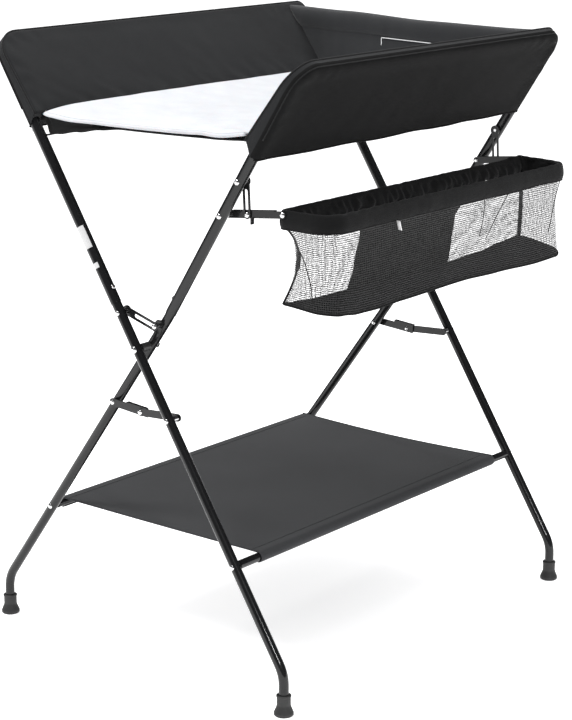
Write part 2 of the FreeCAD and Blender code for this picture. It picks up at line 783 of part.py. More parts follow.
def bed_layer(z_top, thickness, half_y, inset):
    """Flat layer of the bed between the two side walls."""
    z0 = z_top - thickness
    outline = [
        (wall_inner_x("outer", z0) + inset, z0), (wall_inner_x("inner", z0) - inset, z0),
        (wall_inner_x("inner", z_top) - inset, z_top), (wall_inner_x("outer", z_top) + inset, z_top),
    ]
    return prism(outline, -half_y, half_y)


board_top = bed_z - mat_t - bed_gap - sling_t - bed_gap
sling_low = board_top - board_t - bed_gap - sling_t
bed_head_y = end_wall_in - wall_clear


def trim_head(shape):
    """Keep the part of a bed layer that ends at the end wall."""
    far = box(-foot_spread, foot_spread, bed_head_y, outer_leg_y * 2, 0, outer_bar_z * 2)
    return shape.cut(far)


def make_mat():
    return trim_head(bed_layer(bed_z, mat_t, bed_half_y, wall_clear + 2))


def make_board():
    layer = bed_layer(board_top, board_t, bed_half_y - 14, wall_clear + 14)
    return layer.cut(box(-foot_spread, foot_spread, bed_head_y - 14, outer_leg_y * 2, 0, outer_bar_z * 2))


def make_sling():
    """Black cloth sleeve under the mat, hollow for the board and open at the open end."""
    outer = bed_layer(board_top + bed_gap + sling_t, board_top + bed_gap + sling_t - sling_low, bed_half_y, wall_clear)
    hollow = bed_layer(board_top + bed_gap, board_t + 2 * bed_gap, bed_half_y + 10, wall_clear + 10)
    shape = outer.cut(hollow)
    keep_end = bed_layer(board_top + bed_gap, board_t + 2 * bed_gap, bed_half_y, wall_clear + 10)
    end_strip = keep_end.common(box(-foot_spread, foot_spread, bed_head_y - 10, bed_head_y, 0, outer_bar_z))
    return trim_head(shape).fuse(end_strip).removeSplitter()


def make_end_wall():
    """Padded wall across the head end, between the two side walls."""
    outer_top, inner_top = outer_bar_z + top_r, inner_bar_z + top_r
    low = sling_low
    outline = [
        (wall_inner_x("outer", low) + wall_clear, low), (wall_inner_x("inner", low) - wall_clear, low),
        (wall_inner_x("inner", inner_top) - wall_clear, inner_top),
        (wall_inner_x("outer", outer_top) + wall_clear, outer_top),
    ]
    return prism(outline, end_wall_in, end_wall_in + end_wall_t)


def make_shelf():
    """Cloth panel sewn into a sleeve around each shelf bar."""
    sleeves = []
    for at in (shelf_outer_at, shelf_inner_at):
        sleeves.append(along_y(*at, -shelf_half_y, shelf_half_y, bar_d + 2 * cover_gap + 2 * shelf_sleeve_t))
    panel = box(shelf_inner_at[0], shelf_outer_at[0], -shelf_half_y, shelf_half_y,
                shelf_bar_z + bar_r + cover_gap, shelf_bar_z + bar_r + cover_gap + shelf_t)
    shape = panel.fuse(sleeves)
    for at in (shelf_outer_at, shelf_inner_at):
        shape = shape.cut(along_y(*at, -shelf_half_y - 1, shelf_half_y + 1, bar_d + 2 * cover_gap))
    return shape.removeSplitter()


def sticker(z, length, depth):
    """Blank label on the outside of the open-end outer leg, wrapped round to depth from the leg axis."""
    y = -outer_leg_y
    a = outer_point(z, y)
    shell = Part.makeCylinder(top_r + 0.25, length, a, outer_up)
    shell = shell.cut(Part.makeCylinder(top_r + 0.05, length, a, outer_up))
    return shell.common(box(-foot_spread, foot_spread, y - 20, y - depth, 0, outer_bar_z))


def make_stickers():
    return Part.Compound([sticker(684.0, 38, 4.5), sticker(655.0, 9, 7.0)])


# ---------------------------------------------------------------------------
# Output
# ---------------------------------------------------------------------------
save("outer_top_tube", make_outer_top_tube())
save("inner_top_tube", make_inner_top_tube())
for end, side in ENDS.items():
    save("outer_leg_" + end, make_outer_leg(side))
    save("inner_leg_" + end, make_inner_leg(side))
    save("outer_foot_" + end, make_foot(foot_x, side * outer_leg_y))
    save("inner_foot_" + end, make_foot(-foot_x, side * inner_leg_y))
    save("brace_inner_link_" + end, make_brace_inner(side))
    save("brace_outer_link_" + end, make_brace_outer(side))
    save("knee_rivet_" + end, make_knee_rivet(side))
    save("limiter_link_" + end, make_limiter_link(side))
    save("limiter_bolt_" + end, make_limiter_bolt(side))
    save("basket_arm_" + end, make_basket_arm(side))
    save("basket_link_" + end, make_basket_link(side))
    save("basket_link_bolt_" + end, make_basket_bolt(side))
save("outer_leg_screws", both_ends(lambda side: screw_in(outer_joint, outer_up, outer_out, side * outer_leg_y)))
save("inner_leg_screws", both_ends(lambda side: screw_in(inner_joint, inner_up, inner_out, side * inner_leg_y)))
save("wall_screws", both_ends(wall_screw))
save("outer_shelf_bar", make_shelf_bar(shelf_outer_at, outer_face))
save("inner_shelf_bar", make_shelf_bar(shelf_inner_at, inner_side))
save("outer_bar_plugs", both_ends(lambda side: make_bar_plug(shelf_outer_at, outer_face, side)))
save("inner_bar_plugs", both_ends(lambda side: make_bar_plug(shelf_inner_at, inner_side, side)))
save("outer_shelf_bolts", both_ends(lambda side: make_shelf_bolt(shelf_outer_at, outer_leg_y, outer_face, side)))
save("inner_shelf_bolts", both_ends(lambda side: make_shelf_bolt(shelf_inner_at, inner_leg_y, inner_side, side)))
save("pivot_bolts", both_ends(make_pivot_bolt))
save("pivot_nuts", both_ends(make_pivot_nut))
save("pivot_spacers", both_ends(make_pivot_spacer))
save("limiter_rivets", both_ends(make_limiter_rivet))
save("limiter_lugs", both_ends(make_limiter_lug))
save("brace_outer_rivets", both_ends(make_brace_outer_rivet))
save("brace_inner_rivets", both_ends(make_brace_inner_rivet))
save("basket_arm_rivets", both_ends(make_arm_rivet))
save("basket_link_rivets", both_ends(make_basket_link_rivet))
save("basket_rim_bolts", both_ends(make_rim_bolt))
save("basket_rim", make_basket_rim())
save("basket_band", make_basket_band())
save("basket_net", make_basket_net())
save("basket_floor", make_basket_floor())
save("basket_panel", make_basket_panel())
save("outer_wall_cover", make_outer_wall())
save("inner_wall_cover", make_inner_wall())
save("end_wall", make_end_wall())
save("changing_mat", make_mat())
save("bed_board", make_board())
save("bed_sling", make_sling())
save("shelf_panel", make_shelf())
save("blank_sticker", make_stickers())
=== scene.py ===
import bpy
import math
from mathutils import Matrix, Vector, noise


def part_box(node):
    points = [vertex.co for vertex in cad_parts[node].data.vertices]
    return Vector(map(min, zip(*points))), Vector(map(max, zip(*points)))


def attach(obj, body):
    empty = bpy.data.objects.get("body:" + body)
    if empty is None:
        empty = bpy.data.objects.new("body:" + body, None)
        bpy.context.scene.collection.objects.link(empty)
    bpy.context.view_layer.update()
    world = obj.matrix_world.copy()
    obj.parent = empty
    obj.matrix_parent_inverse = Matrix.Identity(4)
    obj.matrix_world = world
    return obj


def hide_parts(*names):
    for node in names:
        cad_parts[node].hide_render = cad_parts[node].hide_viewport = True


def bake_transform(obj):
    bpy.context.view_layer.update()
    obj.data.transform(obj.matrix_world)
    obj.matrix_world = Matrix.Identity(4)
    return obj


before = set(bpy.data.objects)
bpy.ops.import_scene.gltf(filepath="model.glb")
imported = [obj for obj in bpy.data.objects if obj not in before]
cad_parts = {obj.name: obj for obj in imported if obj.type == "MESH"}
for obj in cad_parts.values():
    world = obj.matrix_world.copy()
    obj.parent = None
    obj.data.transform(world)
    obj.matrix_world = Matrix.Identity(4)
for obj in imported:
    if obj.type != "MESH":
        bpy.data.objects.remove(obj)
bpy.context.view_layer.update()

# Layout values, in millimetres about the point midway between the feet, as the CAD draws it.
FOOT_X = 320.0
low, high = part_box("outer_foot_open")
SHIFT = FOOT_X - (low.x + high.x) * 500.0
PIVOT = (23.5, 535.0)
OUT_Y, IN_Y = 384.0, 350.0
OUT_TAN = (FOOT_X - PIVOT[0]) / (PIVOT[1] - 66.0)
IN_TAN = math.tan(math.radians(32.7))
IN_KINK = (PIVOT[0] + 48.0 * (FOOT_X + PIVOT[0]) / 469.0, 583.0)
OUT_TOP, IN_TOP = 997.0, 988.0


def at(x, y, z):
    """Layout millimetres to metres in the row frame."""
    return Vector(((x - SHIFT) / 1000.0, y / 1000.0, z / 1000.0))


def lerp(a, b, t):
    return a + (b - a) * t


def smooth(t):
    t = min(1.0, max(0.0, t))
    return t * t * (3 - 2 * t)


def rough(x, y, z, size):
    """Smooth noise from -1 to 1 with features of about size millimetres."""
    return noise.noise(Vector((x, y, z)) / size)


def table(rows, x):
    """Value at x on a line through (x, value) rows."""
    if x <= rows[0][0]:
        return rows[0][1]
    for (x0, v0), (x1, v1) in zip(rows, rows[1:]):
        if x <= x1:
            return lerp(v0, v1, smooth((x - x0) / (x1 - x0)))
    return rows[-1][1]


def spread(a, b, count):
    return [lerp(a, b, i / (count - 1)) for i in range(count)]


# ---------------------------------------------------------------- meshes
def make(name, verts, faces, uvs=None, material=None):
    """Mesh object from points in metres."""
    data = bpy.data.meshes.new(name)
    data.from_pydata([tuple(v) for v in verts], [], faces)
    if uvs:
        layer = data.uv_layers.new(name="cloth")
        for loop in data.loops:
            layer.data[loop.index].uv = uvs[loop.vertex_index]
    data.validate()
    data.polygons.foreach_set("use_smooth", [True] * len(data.polygons))
    obj = bpy.data.objects.new(name, data)
    bpy.context.scene.collection.objects.link(obj)
    if material:
        data.materials.append(material)
    return obj


def apply_all(obj):
    """Turns the object's modifiers into mesh."""
    dg = bpy.context.evaluated_depsgraph_get()
    dg.update()
    data = bpy.data.meshes.new_from_object(obj.evaluated_get(dg))
    obj.modifiers.clear()
    obj.data = data
    data.name = obj.name
    return obj


def finish_cloth(obj, thickness=0.0, levels=1, offset=0.0):
    if thickness:
        solid = obj.modifiers.new("thickness", "SOLIDIFY")
        solid.thickness = thickness
        solid.offset = offset
    if levels:
        sub = obj.modifiers.new("smooth", "SUBSURF")
        sub.levels = sub.render_levels = levels
    return apply_all(obj)


def grid_faces(rows, cols, start=0, flip=False, wrap=False):
    faces = []
    for i in range(rows - 1):
        for j in range(cols if wrap else cols - 1):
            k = (j + 1) % cols
            a, b = start + i * cols + j, start + i * cols + k
            c, d = b + cols, a + cols
            faces.append((d, c, b, a) if flip else (a, b, c, d))
    return faces


def edge_faces(rows, cols):
    """Faces that close the edge between two stacked grids of rows x cols points."""
    rim = list(range(cols)) + [i * cols + cols - 1 for i in range(1, rows)]
    rim += [(rows - 1) * cols + j for j in reversed(range(cols - 1))]
    rim += [i * cols for i in reversed(range(1, rows - 1))]
    size = rows * cols
    return [(i, size + i, size + j, j) for i, j in zip(rim, rim[1:] + rim[:1])]


def sheet_mesh(name, us, vs, point, material, scale=0.001, wrap=False, flip=False):
    """Grid sheet: point(u, v) gives metres; UVs are u and v in metres."""
    verts = [point(u, v) for v in vs for u in us]
    uvs = [(u * scale, v * scale) for v in vs for u in us]
    return make(name, verts, grid_faces(len(vs), len(us), wrap=wrap, flip=flip), uvs, material)


def cord_mesh(name, points, radius, material, sides=8, closed=False, flat=1.0):
    """Round or flattened cord along points in metres."""
    verts, faces, uvs = [], [], []
    count = len(points)
    up = Vector((0, 0, 1))
    run = 0.0
    for i, p in enumerate(points):
        before = points[i - 1] if i or closed else points[i]
        after = points[(i + 1) % count] if i < count - 1 or closed else points[i]
        tangent = (after - before).normalized()
        side = tangent.cross(up)
        if side.length < 0.2:
            side = tangent.cross(Vector((0, 1, 0)))
        side.normalize()
        normal = side.cross(tangent).normalized()
        run += (p - points[i - 1]).length if i else 0.0
        for k in range(sides):
            angle = 2 * math.pi * k / sides
            verts.append(p + side * radius * math.cos(angle) + normal * radius * flat * math.sin(angle))
            uvs.append((run, radius * angle))
    rings = count if closed else count - 1
    for i in range(rings):
        for k in range(sides):
            a, b = i * sides + k, i * sides + (k + 1) % sides
            c, d = ((i + 1) % count) * sides + (k + 1) % sides, ((i + 1) % count) * sides + k
            faces.append((a, b, c, d))
    if not closed:
        faces.append(tuple(range(sides))[::-1])
        faces.append(tuple(range((count - 1) * sides, count * sides)))
    return make(name, verts, faces, uvs, material)


# ---------------------------------------------------------------- materials
class Nodes:
    """Short way to wire a node material."""

    def __init__(self, name):
        self.material = bpy.data.materials.new(name)
        self.material.use_nodes = True
        self.tree = self.material.node_tree
        self.shader = self.tree.nodes["Principled BSDF"]
        self.output = self.tree.nodes["Material Output"]

    def add(self, kind, settings=None, **inputs):
        node = self.tree.nodes.new(kind)
        for key, value in (settings or {}).items():
            setattr(node, key, value)
        for key, value in inputs.items():
            self.put(node, key.replace("_", " "), value)
        return node

    def put(self, node, key, value):
        socket = node.inputs[int(key[1:])] if key[0] == "i" and key[1:].isdigit() else node.inputs[key]
        if isinstance(value, bpy.types.NodeSocket):
            self.tree.links.new(value, socket)
        else:
            socket.default_value = value

    def set(self, **inputs):
        for key, value in inputs.items():
            self.put(self.shader, key.replace("_", " "), value)

    def place(self, uv=False):
        if uv:
            return self.add("ShaderNodeUVMap", {"uv_map": "cloth"}).outputs["UV"]
        return self.add("ShaderNodeTexCoord").outputs["Object"]

    def noise(self, where, scale, detail=3.0):
        return self.add("ShaderNodeTexNoise", Vector=where, Scale=scale, Detail=detail).outputs["Fac"]

    def math(self, operation, a, b=0.0):
        return self.add("ShaderNodeMath", {"operation": operation}, i0=a, i1=b).outputs[0]

    def ramp(self, value, low, high, start, end):
        node = self.add("ShaderNodeMapRange", i0=value, i1=low, i2=high, i3=start, i4=end)
        return node.outputs[0]

    def mix(self, factor, a, b):
        node = self.add("ShaderNodeMix", {"data_type": "RGBA"})
        self.put(node, "i0", factor)
        self.put(node, "i6", a)
        self.put(node, "i7", b)
        return node.outputs[2]

    def bump(self, height, distance, strength=1.0):
        bump = self.add("ShaderNodeBump", Height=height, Distance=distance, Strength=strength)
        return bump.outputs["Normal"]


def grey(value, tint=0.0):
    return (value * (1 - tint), value, value * (1 + 2 * tint), 1.0)


def ribbed(name, low, high, pitch, lean=0.0):
    """Dark cloth with fine pale ribs, as a knit over a solid lining."""
    m = Nodes(name)
    place = m.place()
    split = m.add("ShaderNodeSeparateXYZ", Vector=place)
    across = m.math("ADD", split.outputs[1], m.math("MULTIPLY", split.outputs[0], lean))
    wander = m.math("MULTIPLY", m.noise(place, 14.0), 0.012)
    rib = m.math("SINE", m.math("MULTIPLY", m.math("ADD", across, wander), 2 * math.pi / pitch))
    broken = m.ramp(m.noise(place, 40.0), 0.35, 0.65, 0.45, 1.0)
    shade = m.math("MULTIPLY", m.ramp(rib, -0.2, 1.0, 0.0, 1.0), broken)
    m.set(Base_Color=m.mix(shade, grey(low), grey(high, 0.02)), Roughness=m.ramp(broken, 0.3, 1.0, 0.75, 0.9))
    m.set(Normal=m.bump(rib, 0.0003, 0.3), Specular_IOR_Level=0.1)
    return m.material


def paint(name, value, roughness, bumps=0.00004):
    m = Nodes(name)
    where = m.place()
    broad = m.noise(where, 9.0)
    fine = m.noise(where, 900.0, 2.0)
    m.set(Base_Color=m.mix(broad, grey(value * 0.75), grey(value * 1.25, 0.04)))
    m.set(Roughness=m.ramp(m.noise(where, 40.0), 0.3, 0.7, roughness - 0.05, roughness + 0.08))
    m.set(Coat_Weight=0.45, Coat_Roughness=0.06, Normal=m.bump(fine, bumps, 0.3), Specular_IOR_Level=0.12)
    return m.material


def weave(name, value, tint=0.02, pitch=0.0008, sheen=0.25, uv=True, slub=0.35):
    """Plain woven polyester."""
    m = Nodes(name)
    cloth, place = m.place(uv), m.place()
    split = m.add("ShaderNodeSeparateXYZ", Vector=cloth)
    turn = 2 * math.pi / pitch
    warp = m.math("SINE", m.math("MULTIPLY", split.outputs[0], turn))
    weft = m.math("SINE", m.math("MULTIPLY", split.outputs[1], turn))
    over = m.math("MULTIPLY", warp, weft)
    threads = m.ramp(over, -1.0, 1.0, 0.0, 1.0)
    stretch = m.add("ShaderNodeMapping", Vector=cloth, Scale=(60.0, 900.0, 1.0)).outputs[0]
    slubs = m.add("ShaderNodeTexNoise", Vector=stretch, Scale=1.0, Detail=2.0).outputs["Fac"]
    broad = m.noise(place, 7.0)
    shade = m.math("ADD", m.math("MULTIPLY", threads, 0.45), m.math("MULTIPLY", slubs, slub))
    shade = m.math("ADD", shade, m.math("MULTIPLY", broad, 0.5))
    tone = m.ramp(shade, 0.2, 1.1, 0.0, 1.0)
    m.set(Base_Color=m.mix(tone, grey(value * 0.6, tint), grey(value * 1.5, tint)))
    m.set(Roughness=m.ramp(slubs, 0.3, 0.7, 0.78, 0.92), Sheen_Weight=sheen, Sheen_Roughness=0.45)
    height = m.math("ADD", threads, m.math("MULTIPLY", m.noise(place, 60.0), 1.5))
    m.set(Normal=m.bump(height, 0.0003, 0.35), Specular_IOR_Level=0.12)
    return m.material


def plush(name):
    """Short-napped white cloth."""
    m = Nodes(name)
    place = m.place()
    nap, soft = m.noise(place, 700.0, 4.0), m.noise(place, 30.0)
    tone = m.ramp(m.math("ADD", nap, soft), 0.7, 1.3, 0.0, 1.0)
    m.set(Base_Color=m.mix(tone, (0.40, 0.41, 0.435, 1), (0.47, 0.48, 0.495, 1)))
    m.set(Roughness=m.ramp(nap, 0.3, 0.7, 0.85, 0.97), Sheen_Weight=0.3, Sheen_Roughness=0.5)
    m.set(Normal=m.bump(m.math("ADD", nap, soft), 0.0006, 0.5), Subsurface_Weight=0.08, Subsurface_Scale=0.01)
    return m.material


def knit(name):
    """See-through knitted net: small staggered holes between dark yarns."""
    m = Nodes(name)
    cloth = m.place(True)
    wander = m.add("ShaderNodeTexNoise", Vector=m.place(), Scale=230.0, Detail=1.0).outputs["Color"]
    shaken = m.add("ShaderNodeVectorMath", {"operation": "SCALE"}, i0=wander, Scale=0.0016).outputs[0]
    moved = m.add("ShaderNodeVectorMath", {"operation": "ADD"}, i0=cloth, i1=shaken).outputs[0]
    split = m.add("ShaderNodeSeparateXYZ", Vector=moved)
    cell = 2 * math.pi / 0.0052
    a = m.math("SINE", m.math("MULTIPLY", split.outputs[0], cell))
    b = m.math("SINE", m.math("MULTIPLY", split.outputs[1], cell * 0.8))
    holes = m.math("ABSOLUTE", m.math("MULTIPLY", a, b))
    uneven = m.ramp(m.noise(m.place(), 420.0), 0.3, 0.7, 0.12, 0.46)
    yarn = m.math("LESS_THAN", holes, uneven)
    shine = m.noise(m.place(), 500.0)
    m.set(Base_Color=m.mix(shine, grey(0.012), grey(0.045)), Alpha=yarn, Specular_IOR_Level=0.3)
    m.set(Roughness=m.ramp(shine, 0.3, 0.7, 0.45, 0.65), Normal=m.bump(shine, 0.0004, 0.5))
    return m.material


def plain(name, value, roughness, scale=300.0, depth=0.0002, metallic=0.0, tint=0.0, swing=0.25):
    m = Nodes(name)
    place = m.place()
    fine, broad = m.noise(place, scale), m.noise(place, 25.0)
    tone = m.math("MULTIPLY", m.math("ADD", fine, broad), 0.5)
    m.set(Base_Color=m.mix(tone, grey(value * (1 - swing), tint), grey(value * (1 + swing), tint)))
    m.set(Roughness=m.ramp(fine, 0.3, 0.7, roughness - 0.06, roughness + 0.06), Metallic=metallic)
    m.set(Normal=m.bump(fine, depth, 0.4))
    return m.material


MAT = {
    "tube": paint("tube_black", 0.008, 0.24),
    "steel": paint("steel_black", 0.008, 0.38),
    "zinc": plain("zinc", 0.72, 0.24, 500.0, 0.00005, 1.0, 0.0, 0.1),
    "rubber": plain("rubber_black", 0.018, 0.6, 450.0),
    "plastic": plain("plastic_black", 0.02, 0.45, 300.0),
    "wall": weave("cloth_wall", 0.0115, 0.035, sheen=0.1),
    # Darker copy of the wall cloth for the wall's outer face, which faces down and away from the lamps: painted
    # shade.
    "wall_out_shaded": weave("cloth_wall_outside_painted_shade", 0.0042, 0.01, sheen=0.01),
    "end": weave("cloth_end", 0.021, 0.03, sheen=0.3),
    "sleeve": weave("cloth_sleeve", 0.008, 0.01, sheen=0.05),
    "shelf": weave("cloth_shelf", 0.028, 0.03, pitch=0.0016, sheen=0.12, slub=0.6),
    "band": weave("cloth_band", 0.0045, 0.02, sheen=0.06),
    "piping": weave("cloth_piping", 0.009, 0.02, pitch=0.0014, sheen=0.08),
    "mat": plush("cloth_white"),
    "foam": plain("foam", 0.62, 0.9, 400.0, 0.0005, 0.0, -0.03, 0.08),
    "net": knit("net_black"),
    "panel": ribbed("cloth_panel", 0.002, 0.03, 0.0052, 0.1),
    "sticker": plain("sticker", 0.5, 0.45, 200.0, 0.00005, 0.0, 0.0, 0.06),
    "net_fold": weave("net_fold", 0.01, 0.0, sheen=0.05),
    "base": ribbed("cloth_base", 0.002, 0.032, 0.0056, -0.6),
    "label": plain("label", 0.8, 0.5, 200.0, 0.00005, 0.0, 0.0, 0.04),
}


# ---------------------------------------------------------------- side walls
class Side:
    """Plane of one leaning top frame: u along Y, v up the legs, n outwards."""

    def __init__(self, foot, tan, sign, leg_y, top):
        self.tan, self.sign, self.leg_y, self.top = tan, sign, leg_y, top
        self.foot = foot
        tilt = math.atan(tan)
        self.up = Vector((sign * math.sin(tilt), 0, math.cos(tilt)))
        self.out = Vector((sign * math.cos(tilt), 0, -math.sin(tilt)))

    def v(self, z):
        return (z - self.top) / self.up.z

    def point(self, u, v, n):
        x0 = self.foot[0] + self.sign * (self.top - self.foot[1]) * self.tan
        p = Vector((x0, u, self.top)) + self.up * v + self.out * n
        return at(p.x, p.y, p.z)


OUTER = Side(PIVOT, OUT_TAN, -1, OUT_Y, OUT_TOP)
INNER = Side(IN_KINK, IN_TAN, 1, IN_Y, IN_TOP)
EDGE = [0, 1.0, 2.4, 4.4, 7.0, 10.4, 15, 21, 29, 40]
CORNER = 36.0


def quarter(x):
    x = min(1.0, max(0.0, x))
    return math.sqrt(1 - (1 - x) ** 2)


def side_wall(name, body, side, z_out, z_in, t_low, t_top, cloth_in, shaded_cloth_out, head_bend):
    """Padded cover drawn over a top tube: rounded over the tube, thicker towards its lower edge."""
    h, r_in = 10.3, 5.0
    radius = CORNER + h
    v_top, v_corner = h, -CORNER
    u_corner = side.leg_y - CORNER
    wide = side.leg_y + h
    arc = [math.radians(6 * k) for k in range(1, 16)]
    middle = spread(-1.0, 1.0, 96)[1:-1]
    v_low_out, v_low_in = side.v(z_out), side.v(z_in)

    head_radius = head_bend + h

    def reach(v, bend):
        """Half width of the cover at v for an end with the given corner bend."""
        r, dv = bend + h, max(0.0, v + bend)
        return side.leg_y - bend + math.sqrt(max(0.0, r * r - dv * dv))

    def rows(v_low):
        heights = spread(v_low, v_corner, 20) + [v_corner + radius * math.sin(a) for a in arc]
        return [(v, (reach(v, CORNER), reach(v, head_bend))) for v in heights]

    def line(width):
        near, far = width
        left, right = -near + EDGE[-1], far - EDGE[-1]
        between_ends = [lerp(left, right, (m + 1) / 2) for m in middle]
        return [-near + e for e in EDGE] + between_ends + [far - e for e in reversed(EDGE)]

    def inside(u, v):
        if u > 0:
            du, dv = u - side.leg_y + head_bend, v + head_bend
            if du > 0 and dv > 0:
                return max(0.0, head_radius - math.hypot(du, dv))
            return max(0.0, min(wide - u, v_top - v))
        du, dv = abs(u) - u_corner, v - v_corner
        if du > 0 and dv > 0:
            return max(0.0, radius - math.hypot(du, dv))
        return max(0.0, min(wide - abs(u), v_top - v))

    def share(v):
        height = v_top - v_low_out
        return smooth((v - v_low_out) / height) * 0.35 + 0.65 * (v - v_low_out) / height

    def thick(v):
        return lerp(t_low, t_top, share(v))

    def puckers(u, v, d):
        du, dv = abs(u) - u_corner, v - v_corner
        near = math.exp(-(max(0.0, -du) / 55) ** 2 - (max(0.0, -dv) / 70) ** 2)
        angle = math.atan2(dv + 70, du + 70)
        return math.exp(-((d - 14) / 13) ** 2) * math.sin(angle * 24 + rough(u, v, 3, 30) * 2.5) * near

    def outer(u, v):
        d = inside(u, v)
        k = smooth((d - h) / 26)
        low_k = smooth((v - v_low_out) / 30)
        n = h * quarter(d / h) - 2.2 * k * low_k
        n += k * (1.3 * rough(u, v * 1.6, 5, 120) + 0.6 * rough(u, v, 9, 38)) + 1.1 * puckers(u, v, d)
        return side.point(u, v, n)

    def inner(u, v):
        d = inside(u, v)
        k = smooth(d / 30)
        n = -(thick(v) - r_in + r_in * quarter(d / r_in)) - 2.5 * k * math.sin(math.pi * share(v))
        low_k = math.exp(-(v - v_low_in) / 28)
        n += k * (1.6 * rough(u, v * 1.5, 15, 110) + 0.6 * rough(u, v, 19, 35))
        n += k * low_k * 3.0 * rough(u * 0.8 + v * 0.9, (u - v) * 0.22, 25, 15) - 0.9 * puckers(u, v, d)
        return side.point(u, v, n)

    def wavy(u, v, v_low, amount):
        return v + amount * math.exp(-(v - v_low) / 12) * rough(u, 0, 31, 90)

    verts, uvs = [], []
    out_rows, in_rows = rows(v_low_out), rows(v_low_in)
    cols = len(line((wide, wide)))
    for v, width in out_rows:
        for u in line(width):
            verts.append(outer(u, wavy(u, v, v_low_out, 2.5)))
            uvs.append((u * 0.001, v * 0.001))
    count = len(out_rows)
    base_in = len(verts)
    for v, width in in_rows:
        for u in line(width):
            verts.append(inner(u, v))
            uvs.append((u * 0.001, v * 0.001 + 0.5))
    flip = side.sign > 0
    faces = grid_faces(count, cols, 0, flip=not flip)
    outside_faces = len(faces)
    faces += grid_faces(count, cols, base_in, flip=flip)
    loop = [i * cols for i in range(count)] + [(count - 1) * cols + j for j in range(1, cols - 1)]
    loop += [i * cols + cols - 1 for i in reversed(range(count))]
    loop += [j for j in reversed(range(1, cols - 1))]
    bottom_start = 2 * count + cols - 2
    previous = loop
    for step in (1, 2):
        ring = []
        for k, i in enumerate(loop):
            a, b = verts[i], verts[base_in + i]
            p = a.lerp(b, step / 3)
            if k >= bottom_start:
                p = p + (side.up * 0.004)
            ring.append(len(verts))
            verts.append(p)
            uvs.append((uvs[i][0], uvs[i][1] + step * 0.003))
        for k in range(len(loop)):
            m = (k + 1) % len(loop)
            quad = (previous[k], previous[m], ring[m], ring[k])
            faces.append(quad if flip else quad[::-1])
        previous = ring
    last = [base_in + i for i in loop]
    for k in range(len(loop)):
        m = (k + 1) % len(loop)
        quad = (previous[k], previous[m], last[m], last[k])
        faces.append(quad if flip else quad[::-1])
    obj = make(name, verts, faces, uvs, cloth_in)
    # The outside faces take the darker copy of the wall cloth: painted shade on the face turned down, away from
    # the light.
    obj.data.materials.append(shaded_cloth_out)
    for i, polygon in enumerate(obj.data.polygons):
        polygon.material_index = 1 if i < outside_faces else 0
    finish_cloth(obj)
    # seam cords along the inner edge and round the tube
    seam = [(-w[0], v) for v, w in in_rows]
    seam += [(u, in_rows[-1][0]) for u in spread(seam[-1][0], in_rows[-1][1][1], 60)[1:-1]]
    seam += [(w[1], v) for v, w in reversed(in_rows)]
    path = [side.point(u * 0.9985, v - 0.4, -(thick(v) - r_in * 0.45)) for u, v in seam]
    piping = cord_mesh(name + "_piping", path, 0.0017, MAT["piping"], 8)
    ridge = [side.point(u * 0.996, v - 1.5, 6.2) for u, v in seam]
    topstitch = cord_mesh(name + "_seam", ridge[4:-4], 0.0009, MAT["piping"], 6)
    inward = Vector((side.out.x, 0, side.out.z)) * -0.0006
    hem_line = [outer(u, wavy(u, v_low_out, v_low_out, 2.5) + 2.0) + inward
                for u in spread(-wide + 3, wide - 3, 160)]
    # The hem on the outer face uses the same darker copy: painted shade.
    hem = cord_mesh(name + "_hem", hem_line, 0.0016, shaded_cloth_out, 8)
    for piece in (piping, topstitch, hem):
        piece.parent = obj
    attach(obj, body)
    return obj


outer_wall = side_wall("outer_wall", "outer_frame", OUTER, 868.0, 878.0, 20.0, 9.5,
                       MAT["wall"], MAT["wall_out_shaded"], 5.0)
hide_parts("outer_wall_cover")
inner_wall = side_wall("inner_wall", "inner_frame", INNER, 854.0, 868.5, 24.0, 9.5,
                       MAT["wall"], MAT["wall_out_shaded"], 30.0)
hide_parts("inner_wall_cover")


def wall_x(side, z, depth=0.0):
    """Layout X of a wall's tray side at height z."""
    t = (z - 868.0) / (side.top - 868.0)
    thickness = lerp(22.0, 9.5, t) + depth
    axis = side.foot[0] + side.sign * (z - side.foot[1]) * side.tan
    return axis - side.sign * thickness / math.cos(math.atan(side.tan))


def between(obj):
    """Cloth that joins the two frames, with its placement baked into the mesh."""
    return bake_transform(obj)


# ---------------------------------------------------------------- mat and bed
MAT_NEAR = [(-185, -384), (-150, -386), (60, -386), (190, -378), (232, -366)]
MAT_EDGE_Z = [(-186, 893), (-160, 888.5), (-111, 885.5), (13, 887), (119, 889), (190, 890), (232, 891)]


def mat_height(x, y):
    near = math.exp(-(y + 386) / 26)
    left, right = wall_x(OUTER, 884), wall_x(INNER, 884)
    t = (x - left) / (right - left)
    base = 880.0 + (18.5 if t < 0.5 else 11.0) * abs(2 * t - 1) ** 2.2
    z = lerp(base, table(MAT_EDGE_Z, x), min(1.0, near))
    z += 1.2 * rough(x, y, 41, 120) + 0.5 * rough(x, y, 43, 42)
    corner = math.exp(-((x - 205) / 95) ** 2 - ((y + 330) / 95) ** 2)
    z += corner * 1.6 * math.sin((x * 0.5 + y * 0.9) * 0.11 + rough(x, y, 45, 60) * 2)
    return z


